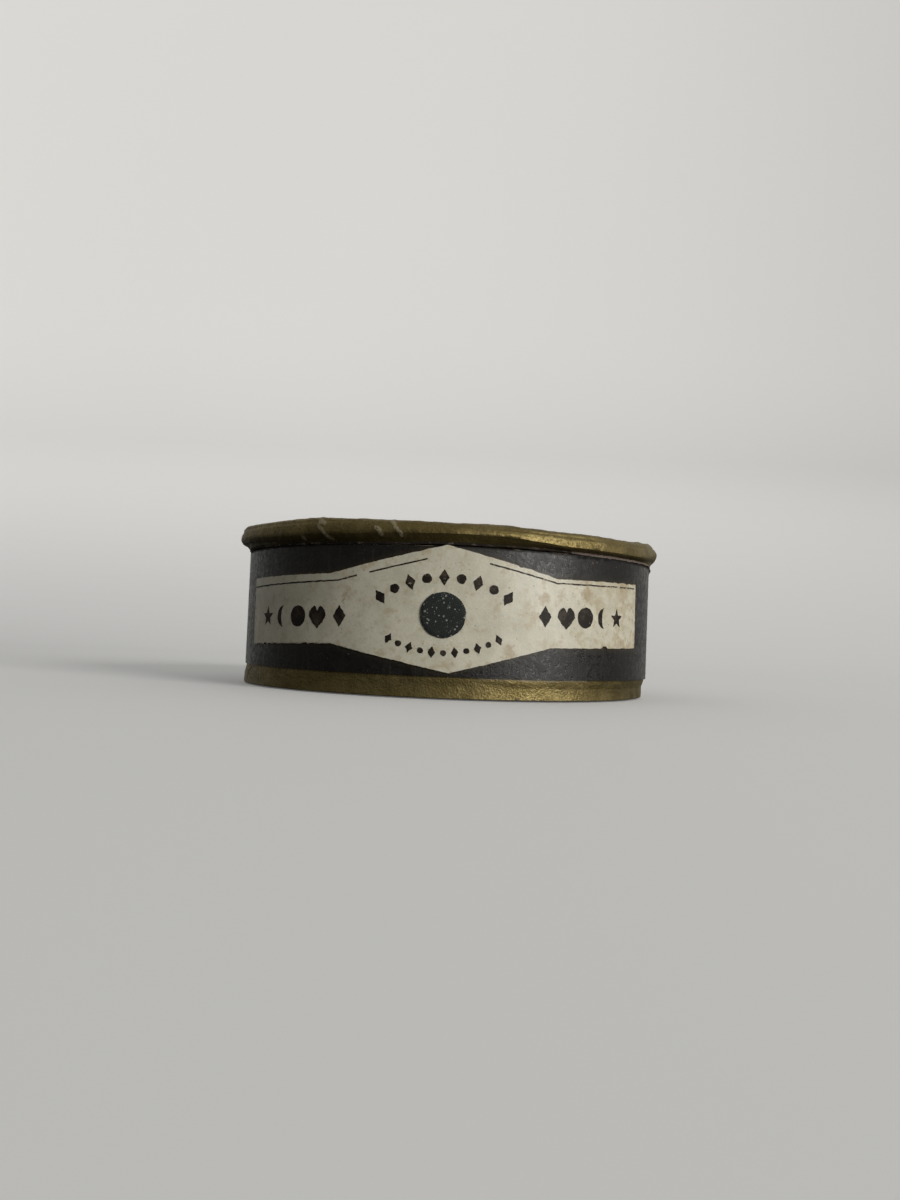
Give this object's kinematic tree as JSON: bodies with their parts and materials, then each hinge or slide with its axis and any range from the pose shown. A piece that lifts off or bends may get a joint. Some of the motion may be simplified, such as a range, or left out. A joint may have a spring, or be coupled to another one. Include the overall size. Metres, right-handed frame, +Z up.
{
  "type": "patch box",
  "caption": "Small round cardboard patch box with gilt-edged lift-off lid and foot, dark paper wall, die-cut cream label and loose black patches inside.",
  "frame": {"origin": "centre of the box's axis on the plane that it stands on", "axes": "+Z up along the box's axis, towards the lid; -Y towards the front, where the middle of the label is"},
  "size_m": [0.0414, 0.0414, 0.0145],
  "materials": {
    "board": "raw grey-brown pulp board",
    "gilt_paper": "bronze-powder gilt paper, dulled and rubbed",
    "dark_paper": "glazed brown-black paper with a fine grain",
    "label_paper": "aged cream paper with brown stains",
    "lining_paper": "matt off-white paper",
    "patch_cloth": "black gummed taffeta"
  },
  "bodies": {
    "box": {"base_board": "board", "base_gilt_edging": "gilt_paper", "base_underside_paper": "dark_paper", "wall_tube": "board", "neck_ring": "board", "neck_paper": "lining_paper", "wall_wrap_paper": "dark_paper", "floor_paper": "lining_paper", "side_label": "label_paper", "sample_patch": "patch_cloth", "round_patches": "patch_cloth", "dot_patches": "patch_cloth", "crescent_patches": "patch_cloth", "star_patches": "patch_cloth", "heart_patches": "patch_cloth", "lozenge_patches": "patch_cloth"},
    "lid": {"lid_rim_ring": "board", "lid_gilt_edging": "gilt_paper", "lid_board": "board", "lid_top_paper": "dark_paper", "lid_lining_paper": "lining_paper"}
  },
  "joints": [
    {"name": "lid_lift", "type": "slide", "parent": "box", "child": "lid", "axis": [0, 0, 1], "range_m": [0, 0.025]}
  ]
}
